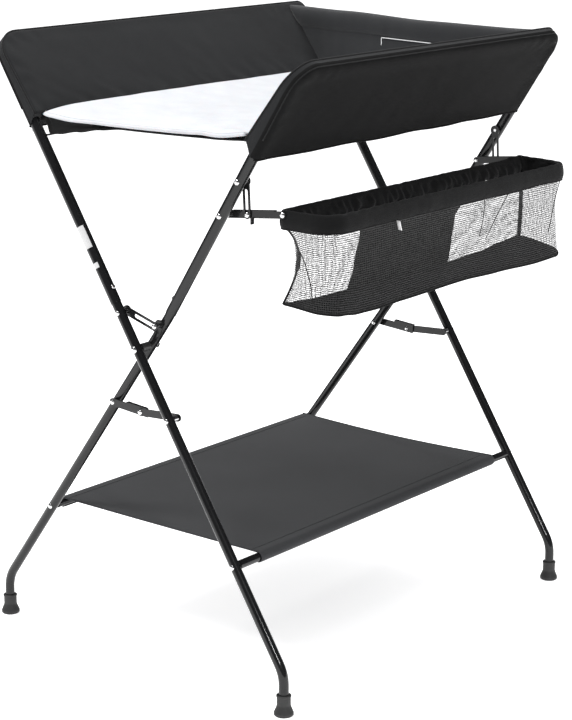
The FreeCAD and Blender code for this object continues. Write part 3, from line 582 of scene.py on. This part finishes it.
def build_mat():
    half = 3.2
    us, vs = spread(0, 1, 84), [0, 0.002, 0.005, 0.01, 0.018] + spread(0.03, 1, 110)
    top, bottom, uvs = [], [], []
    for v in vs:
        for u in us:
            x = lerp(wall_x(OUTER, 884) + 1.5, wall_x(INNER, 884) - 0.5, u)
            y0 = table(MAT_NEAR, x)
            y = lerp(y0, 346.0, v)
            d = min(y - y0, 40.0)
            edge = quarter(d / half)
            z = mat_height(x, y) - half
            top.append(at(x, y, z + half * edge))
            bottom.append(at(x, y, z - half * 0.8 * edge))
            uvs.append((x * 0.001, y * 0.001))
    cols, rows_ = len(us), len(vs)
    verts = top + bottom
    faces = grid_faces(rows_, cols) + grid_faces(rows_, cols, len(top), flip=True)
    faces += edge_faces(rows_, cols)
    obj = make("changing_mat_pad", verts, faces, uvs + uvs, MAT["mat"])
    finish_cloth(obj)
    hem_points = []
    for x in spread(wall_x(OUTER, 884) + 3, wall_x(INNER, 884) + 2, 90):
        y0 = table(MAT_NEAR, x)
        hem_points.append(at(x, y0 + 5.5, mat_height(x, y0 + 5.5) + 0.2))
    stitch = cord_mesh("mat_stitching", hem_points, 0.0006, MAT["mat"], 6)
    between(obj)
    between(stitch)
    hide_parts("changing_mat")


SLEEVE_EDGE = [(-186, 852), (-170, 854), (-141, 859), (-96, 866), (-53, 873), (-20, 877), (232, 881)]


def sling_y(x):
    """Near edge of the cloth under the mat, drawn back where the mat hangs over it."""
    return table(MAT_NEAR, x) + 4 + 16 * smooth((x + 75) / 60)


def sleeve_height(x, y):
    near = min(1.0, math.exp(-(y + 380) / 55))
    return lerp(mat_height(x, y) - 16.5, table(SLEEVE_EDGE, x), near) + 0.8 * rough(x, y, 51, 80)


def build_bed():
    def low_sheet(u, v):
        x = lerp(wall_x(OUTER, 868) + 1.0, wall_x(INNER, 868) - 1.0, u / 400)
        y = lerp(sling_y(x), 346.0, v / 730)
        return at(x, y, sleeve_height(x, y))

    sleeve = sheet_mesh("bed_sleeve", spread(0, 400, 60), spread(0, 730, 90), low_sheet, MAT["sleeve"])
    finish_cloth(sleeve, 0.0012)

    # A dark sheet of sleeve cloth closes the sleeve's open mouth under the mat's hem, standing in for the shade
    # inside it: painted shade.
    def mouth_shade_point(u, v):
        x = lerp(-184.0, 214.0, u / 398)
        y = sling_y(x) + 5 * math.sin(math.pi * v / 20)
        top, bottom = mat_height(x, y) - 4.5, lerp(877.0, sleeve_height(x, sling_y(x)), smooth((x + 167) / 6))
        return at(x, y, lerp(bottom, max(top, bottom + 0.5), v / 20))

    mouth_shade_sheet = sheet_mesh("bed_sleeve_mouth_shade", spread(0, 398, 90), spread(0, 20, 7), mouth_shade_point, MAT["sleeve"])
    finish_cloth(mouth_shade_sheet, 0.0008)
    edge = [at(x, sling_y(x), sleeve_height(x, sling_y(x))) for x in spread(-184, 224, 70)]
    hem = cord_mesh("bed_sleeve_hem", edge, 0.0015, MAT["sleeve"], 8)

    half, cols, rows_ = 4.5, 50, 60
    verts, uvs = [], []
    for sign in (1, -1):
        for j in range(rows_):
            for i in range(cols):
                x = lerp(wall_x(OUTER, 872) + 6, wall_x(INNER, 872) - 12, i / (cols - 1))
                y0 = sling_y(x) + lerp(0.5, 16, smooth((x + 168) / 10))
                y = lerp(y0, 332.0, j / (rows_ - 1))
                low_z = sleeve_height(x, y) + 1.2
                high_z = min(mat_height(x, y) - 7.0, low_z + 19.0)
                middle = (low_z + high_z) / 2
                reach = min(y - y0, 332 - y, i * 8.0, (cols - 1 - i) * 8.0)
                reach = (high_z - low_z) / 2 * quarter(reach / half * 0.9 + 0.15)
                verts.append(at(x, y, middle + sign * max(0.3, reach)))
                uvs.append((x * 0.001, y * 0.001))
    faces = grid_faces(rows_, cols) + grid_faces(rows_, cols, rows_ * cols, flip=True)
    faces += edge_faces(rows_, cols)
    board = make("bed_foam_board", verts, faces, uvs, MAT["foam"])
    finish_cloth(board)
    for piece in (sleeve, mouth_shade_sheet, hem, board):
        between(piece)
    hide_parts("bed_sling")
    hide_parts("bed_board")


build_mat()
build_bed()


# ---------------------------------------------------------------- end wall
def build_end_wall():
    """Padded end wall: a rolled top edge, a sewn crease under it and a soft panel below."""
    def top_z(t):
        return table([(0, 1005.5), (0.22, 1002), (0.55, 994.5), (0.85, 992.5), (1, 993.5)], t)

    cols, rows_ = 80, 46
    heights = spread(0, 1, rows_)
    verts, uvs = [], []
    for sign in (-1, 1):
        for h in heights:
            for i in range(cols):
                t = i / (cols - 1)
                z = lerp(868.0, top_z(t), h)
                x = lerp(wall_x(OUTER, z, -2.0), wall_x(INNER, z, -2.0), t)
                below = top_z(t) - z
                roll = 10.0 * quarter(min(below, 38 - below) / 19) if below < 38 else 0.0
                panel = 6.5 * quarter((below - 38) / 30) if below >= 38 else 0.0
                puff = max(roll, panel) + 1.2
                puff *= 0.55 + 0.45 * quarter(min(t, 1 - t) / 0.06)
                y = 353.0 + sign * puff * (1.0 if sign < 0 else 0.6)
                k = smooth(min(t, 1 - t) / 0.08)
                y += sign * k * (1.4 * rough(x, z, 61, 70) + 0.7 * rough(x * 1.5, z * 0.4, 63, 24))
                verts.append(at(x, y, z))
                uvs.append((x * 0.001, z * 0.001))
    size = cols * rows_
    faces = grid_faces(rows_, cols) + grid_faces(rows_, cols, size, flip=True)
    faces += edge_faces(rows_, cols)
    wall = make("end_wall_pad", verts, faces, uvs, MAT["end"])
    finish_cloth(wall)

    def label_point(u, v):
        return at(u, 345.4 + 0.8 * rough(u, v, 61, 70), v)

    frame_points = [(-46, 959), (92, 955), (92, 927), (-46, 931)]
    outline = []
    for (u0, v0), (u1, v1) in zip(frame_points, frame_points[1:] + frame_points[:1]):
        outline += [label_point(lerp(u0, u1, k / 16), lerp(v0, v1, k / 16)) for k in range(16)]
    border = cord_mesh("end_wall_label_border", outline, 0.0008, MAT["label"], 6, closed=True)
    for piece in (wall, border):
        between(piece)
    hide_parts("end_wall")


build_end_wall()


# ---------------------------------------------------------------- shelf
SHELF_Z = 220.0
SHELF_R = 8.6
SHELF_OUT = (222.64, SHELF_Z)
SHELF_IN = (-207.2, SHELF_Z)


def build_shelf():
    """Cloth tube round each bar joined by a flat panel, as one closed ribbon."""
    def loop_round(bar, first, count):
        """Points round a shelf bar in steps of 20 degrees, clockwise."""
        angles = [math.radians(first - 20 * k) for k in range(count)]
        return [(bar[0] + SHELF_R * math.cos(a), SHELF_Z + SHELF_R * math.sin(a)) for a in angles]

    left, right = loop_round(SHELF_IN, -60, 11), loop_round(SHELF_OUT, 90, 13)
    flat = [(x, None) for x in spread(SHELF_IN[0] + 12, SHELF_OUT[0] - 12, 60)]
    section = left + flat + right
    ys = spread(-330, 330, 90)
    verts, uvs = [], []
    for y in ys:
        run = 0.0
        last = None
        for x, z in section:
            if z is None:
                t = (x - SHELF_IN[0]) / (SHELF_OUT[0] - SHELF_IN[0])
                sag = 3.0 * math.sin(math.pi * t)
                edge = math.exp(-(330 - abs(y)) / 9)
                z = SHELF_Z + SHELF_R - sag + 0.7 * rough(x, y, 71, 110) * math.sin(math.pi * t) + 0.5 * edge
            run += math.hypot(x - last[0], z - last[1]) if last else 0.0
            last = (x, z)
            draw = 0.0
            if SHELF_IN[0] < x < SHELF_OUT[0]:
                draw = 5.0 * math.sin(math.pi * (x - SHELF_IN[0]) / (SHELF_OUT[0] - SHELF_IN[0]))
            verts.append(at(x, y * (1 - draw / 330), z))
            uvs.append((run * 0.001, y * 0.001))
    shelf = make("shelf_cloth", verts, grid_faces(len(ys), len(section), flip=True), uvs, MAT["shelf"])
    finish_cloth(shelf, 0.0013)
    pieces = []
    for k, y in enumerate((-329.0, 329.0)):
        points = []
        for x in spread(SHELF_IN[0] - 2, SHELF_OUT[0] + 2, 80):
            t = min(1.0, max(0.0, (x - SHELF_IN[0]) / (SHELF_OUT[0] - SHELF_IN[0])))
            z = SHELF_Z + SHELF_R - 3.0 * math.sin(math.pi * t) + 0.4
            points.append(at(x, y * (1 - 5.0 * math.sin(math.pi * t) / 330), z))
        pieces.append(cord_mesh("shelf_hem_%d" % k, points, 0.0016, MAT["shelf"], 8))
    for k, bar in enumerate((SHELF_IN, SHELF_OUT)):
        toward = 1 if k == 0 else -1
        points = [at(bar[0] + toward * 13.5, y, SHELF_Z + SHELF_R + 0.35) for y in spread(-326, 326, 60)]
        pieces.append(cord_mesh("shelf_seam_%d" % k, points, 0.0007, MAT["shelf"], 6))
    for piece in [shelf] + pieces:
        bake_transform(piece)
    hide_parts("shelf_panel")


build_shelf()


# ---------------------------------------------------------------- basket
RIM = (268.0, 361.0, 328.0)
RIM_Z = 771.0
RIM_BENDS = (12.0, 32.0)


def outline(per=6.0):
    """Points and outward normals round the rim, anticlockwise from its outer near corner."""
    x0, x1, y = RIM
    inner, outer = RIM_BENDS
    corners = [(x1 - outer, -y + outer, -90, outer), (x1 - outer, y - outer, 0, outer),
               (x0 + inner, y - inner, 90, inner), (x0 + inner, -y + inner, 180, inner)]
    rows = []
    for k, (cx, cy, start, radius) in enumerate(corners):
        nx, ny, _, after = corners[(k + 1) % 4]
        for step in range(9):
            a = math.radians(start + 11.25 * step)
            rows.append((cx + radius * math.cos(a), cy + radius * math.sin(a), math.cos(a), math.sin(a)))
        a = math.radians(start + 90)
        from_x, from_y = cx + radius * math.cos(a), cy + radius * math.sin(a)
        to_x, to_y = nx + after * math.cos(a), ny + after * math.sin(a)
        count = max(2, int(math.hypot(to_x - from_x, to_y - from_y) / per))
        for step in range(1, count):
            t = step / count
            rows.append((lerp(from_x, to_x, t), lerp(from_y, to_y, t), math.cos(a), math.sin(a)))
    return rows


def lengths(points):
    total, out = 0.0, []
    for i, p in enumerate(points):
        total += math.hypot(p[0] - points[i - 1][0], p[1] - points[i - 1][1]) if i else 0.0
        out.append(total)
    return out


def build_band():
    """Gathered cloth tunnel round the rim: smooth and deep outside, ruched inside."""
    ring = outline(4.0)
    run = lengths(ring)
    section = [(-10.5, 749), (-11.5, 753), (-12.0, 757), (-11.0, 761), (-9.0, 765), (-6.8, 769)]
    over_rim = [math.radians(a) for a in (170, 145, 120, 90, 60, 35, 10)]
    section += [(5.2 * math.cos(a), RIM_Z + 0.3 + 5.8 * math.sin(a)) for a in over_rim]
    section += [(6.0, 768), (6.9, 764), (7.2, 759.5), (6.6, 755), (5.4, 751.5), (4.4, 749)]
    verts, uvs = [], []
    for k, (offset, z) in enumerate(section):
        for i, (x, y, nx, ny) in enumerate(ring):
            s = run[i]
            if offset < -5.3:
                gather = 4.6 * rough(s, z * 0.5, 81, 9) + 4.0 * rough(s, z, 83, 20)
                shift = min(3.6, gather)
                z_here = z + 4.2 * rough(s, z, 85, 12)
            else:
                soft = smooth((offset - 4.0) / 1.2)
                shift = 0.9 * soft * rough(s, z * 1.5, 87, 45) + 0.35 * soft * rough(s * 1.4, z * 0.6, 88, 15)
                top = smooth((z - 768) / 8)
                low = 1 - smooth((z - 750) / 12)
                z_here = z + top * 1.2 * rough(s, 0, 89, 15) - low * 1.4 * rough(s, 0, 91, 90)
            bunch = math.exp(-((x - 276) / 24) ** 2 - ((y - 308) / 30) ** 2)
            z_here += bunch * (4.5 if z > 760 else 2.0) * (0.6 + 0.7 * rough(s, z, 93, 9))
            verts.append(at(x + nx * (offset + shift), y + ny * (offset + shift), z_here))
            uvs.append((s * 0.001, k * 0.004))
    faces = grid_faces(len(section), len(ring), wrap=True, flip=True)
    band = make("basket_band_cloth", verts, faces, uvs, MAT["band"])
    finish_cloth(band, 0.0011)
    hem_ring = [at(x + nx * 4.6, y + ny * 4.6, 749.4 - 1.4 * rough(s, 0, 91, 90))
                for (x, y, nx, ny), s in zip(ring, run)]
    hem = cord_mesh("basket_band_hem", hem_ring, 0.0012, MAT["band"], 6, closed=True)
    for piece in (band, hem):
        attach(piece, "basket")
    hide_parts("basket_band")
    return band


BASE_IN = [(-328, 634), (-300, 629), (-235, 625.5), (-100, 625),
           (120, 624.5), (212, 627), (270, 633), (328, 637)]
BASE_OUT = [(-328, 628), (-300, 625), (-260, 621), (-210, 620), (-150, 622), (20, 625),
            (117, 622), (238, 618), (300, 619), (328, 624)]


def base_z(x, y):
    """Height of the basket's soft base along its edge."""
    side = min(1.0, max(0.0, (x - RIM[0]) / (RIM[1] - RIM[0])))
    return lerp(table(BASE_IN, y), table(BASE_OUT, y), smooth(side))


def net_point(x, y, nx, ny, t, s):
    """Net wall at t from the band (0) to the base (1), drawn in between them."""
    z = lerp(753.0, base_z(x, y), t)
    pull = math.sin(math.pi * t ** 0.75)
    near_in = math.exp(-((x - RIM[0]) / 26) ** 2 - ((y + RIM[2]) / 30) ** 2)
    others = math.exp(-(min(abs(x - RIM[0]), abs(x - RIM[1])) / 26) ** 2 - ((RIM[2] - abs(y)) / 30) ** 2)
    inward = 1.5 * t + pull * (3.5 + 15.0 * near_in + 6.0 * others)
    inward += pull * (2.6 * rough(s * 0.5 + z * 0.4, z * 0.2, 101, 34) + 1.8 * rough(s, z, 103, 70))
    inward += 0.8 * pull * rough(s + z * 0.7, (s - z) * 0.15, 107, 9)
    return x - nx * (inward - 3.0), y - ny * (inward - 3.0), z


def ring_at(x, y):
    """Nearest ring point's normal for a place on the net's straight sides."""
    if abs(y) > RIM[2] - 4:
        return 0.0, math.copysign(1.0, y)
    return (1.0, 0.0) if x > 300 else (-1.0, 0.0)


def build_net():
    ring = outline(5.0)
    run = lengths(ring)
    steps = spread(0, 1, 30)
    verts, uvs = [], []
    for t in steps:
        for i, (x, y, nx, ny) in enumerate(ring):
            verts.append(at(*net_point(x, y, nx, ny, t, run[i])))
            uvs.append((run[i] * 0.001, t * 0.125))
    net = make("basket_mesh", verts, grid_faces(len(steps), len(ring), wrap=True, flip=True), uvs, MAT["net"])
    finish_cloth(net, 0.0, 1)
    extra = []
    for key, toward in (("in_open", -1), ("in_head", 1)):
        i = min(range(len(ring)), key=lambda k: abs(ring[k][2] + 0.7071) + abs(ring[k][3] - toward * 0.7071))
        x, y, nx, ny = ring[i]
        points = [at(*net_point(x, y, nx, ny, t, run[i])) for t in spread(0, 1.0, 30)]
        extra.append(cord_mesh("basket_binding_" + key, points, 0.0042, MAT["band"], 8, flat=0.4))
    folds = [((-1, 215, 734), (-1, 222, 700), (-1, 206, 655)), ((-1, 300, 732), (-1, 268, 695), (-1, 226, 648)),
             ((0, 300, 717), (0, 318, 700), (0, 330, 642)), ((1, 350, 748), (1, 341, 700), (1, 328, 650))]
    for k, fold in enumerate(folds):
        points = []
        for n in range(17):
            t = n / 16
            p = [lerp(lerp(fold[0][c], fold[1][c], t), lerp(fold[1][c], fold[2][c], t), t) for c in (1, 2)]
            kind = fold[0][0]
            x, y = (RIM[0], p[0]) if kind < 0 else (p[0], -RIM[2] if kind == 0 else RIM[2])
            nx, ny = ring_at(x, y)
            part = (753.0 - p[1]) / (753.0 - base_z(x, y))
            near = min(range(len(ring)), key=lambda q: (ring[q][0] - x) ** 2 + (ring[q][1] - y) ** 2)
            points.append(at(*net_point(x, y, nx, ny, part, run[near])))
        extra.append(cord_mesh("basket_fold_%d" % k, points, 0.0008, MAT["net_fold"], 6))
    base_ring = [net_point(x, y, nx, ny, 1.0, run[i]) for i, (x, y, nx, ny) in enumerate(ring)]

    def floor_edge(y, bend, sign):
        """X of the base's edge at y on one long side."""
        over = max(0.0, abs(y) - (RIM[2] - bend))
        r = bend + 1.5
        return (RIM[0] if sign < 0 else RIM[1]) + sign * (1.5 - r + math.sqrt(max(0.0, r * r - over * over)))

    def floor_point(u, v):
        x = lerp(floor_edge(v, RIM_BENDS[0], -1), floor_edge(v, RIM_BENDS[1], 1), u)
        middle = 4 * u * (1 - u)
        ends = 1 - smooth((abs(v) - 290) / 39)
        z = base_z(x, v) - middle * ends * (2.5 + 2.0 * rough(x, v, 111, 50)) + 0.5
        return at(x, v, z)

    close_to_end = [316, 321, 325, 327.5, 328.9, 329.4]
    ys = [-y for y in reversed(close_to_end)] + spread(-308, 308, 90) + close_to_end
    floor = sheet_mesh("basket_base_cloth", spread(0, 1, 20), ys, floor_point, MAT["base"])
    for loop in floor.data.loops:
        co = floor.data.vertices[loop.vertex_index].co
        floor.data.uv_layers["cloth"].data[loop.index].uv = (co.x, co.y)
    finish_cloth(floor, 0.0012)
    edge = cord_mesh("basket_base_seam", [at(*p) for p in base_ring], 0.0018, MAT["band"], 8, closed=True)

    def panel_point(u, v):
        t = v / 122
        z = lerp(752, 627, t)
        left = table([(627, -164), (664, -149), (714, -137), (752, -128)], z)
        right = table([(627, 113), (654, 118), (703, 125), (721, 148), (752, 168)], z)
        y = lerp(left, right, u)
        near = min(range(len(ring)), key=lambda q: (ring[q][0] - RIM[0]) ** 2 + (ring[q][1] - y) ** 2)
        px, _, pz = net_point(RIM[0], y, -1, 0, min(t, 0.995), run[near])
        return at(px + 1.6, y, pz)

    panel = sheet_mesh("basket_panel_cloth", spread(0, 1, 60), spread(0, 122, 24), panel_point, MAT["panel"])
    for loop in panel.data.loops:
        co = panel.data.vertices[loop.vertex_index].co
        panel.data.uv_layers["cloth"].data[loop.index].uv = (co.y, co.z)
    finish_cloth(panel, 0.0008)
    tag = sheet_mesh("basket_tag", spread(0, 10, 4), spread(0, 15, 5),
                     lambda u, v: at(RIM[1] + 5.2 + 0.9 * u, -171 - u * 0.3 + 0.35 * v, 750 - v), MAT["label"])
    finish_cloth(tag, 0.0004, 0)
    for piece in [net, floor, edge, panel, tag] + extra:
        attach(piece, "basket")
    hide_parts("basket_net")
    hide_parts("basket_floor")
    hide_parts("basket_panel")


build_band()
build_net()


# ---------------------------------------------------------------- carried-over CAD parts
FINISH = {
    "tube": ["outer_top_tube", "inner_top_tube", "outer_leg_open", "outer_leg_head",
             "inner_leg_open", "inner_leg_head", "outer_shelf_bar", "inner_shelf_bar"],
    "rubber": ["outer_foot_open", "outer_foot_head", "inner_foot_open", "inner_foot_head"],
    "plastic": ["outer_bar_plugs", "inner_bar_plugs", "pivot_spacers"],
    "sticker": ["blank_sticker"],
}
STEEL = ("brace_inner_link", "brace_outer_link", "limiter_link", "limiter_lugs", "basket_arm_open",
         "basket_arm_head", "basket_link_open", "basket_link_head", "basket_rim")
finish_of = {node: key for key, nodes in FINISH.items() for node in nodes}
for node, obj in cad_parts.items():
    key = finish_of.get(node)
    if key is None:
        key = "steel" if node.startswith(STEEL) and not node.endswith(("rivets", "bolts")) else "zinc"
    if not obj.data.materials:
        obj.data.materials.append(MAT[key])
    for k in range(len(obj.material_slots)):
        obj.material_slots[k].material = MAT[key]


# ---------------------------------------------------------------- floor, light, camera
def stage_floor():
    size = 14.0
    data = bpy.data.meshes.new("studio_floor")
    corners = [(-size, -size, 0), (size, -size, 0), (size, size, 0), (-size, size, 0)]
    data.from_pydata(corners, [], [(0, 1, 2, 3)])
    obj = bpy.data.objects.new("studio_floor", data)
    bpy.context.scene.collection.objects.link(obj)
    m = Nodes("studio_floor")
    spot = m.noise(m.place(), 1.5)
    m.set(Base_Color=m.mix(spot, (0.94, 0.94, 0.94, 1), (0.96, 0.96, 0.96, 1)))
    m.set(Roughness=0.9, Specular_IOR_Level=0.0)
    m.set(Emission_Color=(1.0, 1.0, 1.0, 1.0), Emission_Strength=0.5)
    data.materials.append(m.material)


def area(name, place, target, size, power):
    light = bpy.data.lights.new(name, "AREA")
    light.shape, light.size, light.energy = "DISK", size, power
    obj = bpy.data.objects.new(name, light)
    bpy.context.scene.collection.objects.link(obj)
    obj.location = place
    obj.rotation_euler = (Vector(target) - Vector(place)).to_track_quat("-Z", "Y").to_euler()


def studio():
    """White room: full brightness to the eye and to cloth, darker in the reflections on the tubes."""
    world = bpy.data.worlds.new("studio")
    bpy.context.scene.world = world
    world.use_nodes = True
    tree = world.node_tree
    back = tree.nodes["Background"]
    path = tree.nodes.new("ShaderNodeLightPath")
    color = (0.05, 0.05, 0.055, 1)
    for ray, shade in (("Is Diffuse Ray", (0.78, 0.78, 0.79, 1)), ("Is Camera Ray", (1.0, 1.0, 1.0, 1))):
        mix = tree.nodes.new("ShaderNodeMix")
        mix.data_type = "RGBA"
        tree.links.new(path.outputs[ray], mix.inputs[0])
        if isinstance(color, tuple):
            mix.inputs[6].default_value = color
        else:
            tree.links.new(color, mix.inputs[6])
        mix.inputs[7].default_value = shade
        color = mix.outputs[2]
    tree.links.new(color, back.inputs["Color"])
    area("key", (-1.2, -2.2, 3.6), (0, 0, 0.6), 1.4, 90)
    area("top", (0.3, 0.5, 4.0), (0, 0, 0.5), 2.6, 110)
    area("side", (3.2, -1.6, 1.8), (0, 0, 0.6), 0.35, 22)
    area("back", (-2.6, 1.2, 2.2), (0, 0, 0.6), 0.3, 12)


def camera():
    """Long lens from the front right, a little above the tray."""
    yaw, pitch, roll = math.radians(38.88), math.radians(14.60), math.radians(0.107)
    ahead = Vector((-math.sin(yaw) * math.cos(pitch), math.cos(yaw) * math.cos(pitch), -math.sin(pitch)))
    right = ahead.cross(Vector((0, 0, 1))).normalized()
    up = right.cross(ahead)
    right, up = right * math.cos(roll) + up * math.sin(roll), up * math.cos(roll) - right * math.sin(roll)
    data = bpy.data.cameras.new("camera")
    data.sensor_width, data.lens = 36.0, 103.36
    data.clip_start, data.clip_end = 0.1, 60.0
    obj = bpy.data.objects.new("camera", data)
    bpy.context.scene.collection.objects.link(obj)
    turn = Matrix((right, up, -ahead)).transposed().to_4x4()
    obj.matrix_world = Matrix.Translation(at(2174.8, -2680.5, 1335.2)) @ turn
    bpy.context.scene.camera = obj


stage_floor()
studio()
camera()
bpy.context.scene.view_settings.view_transform = "Standard"
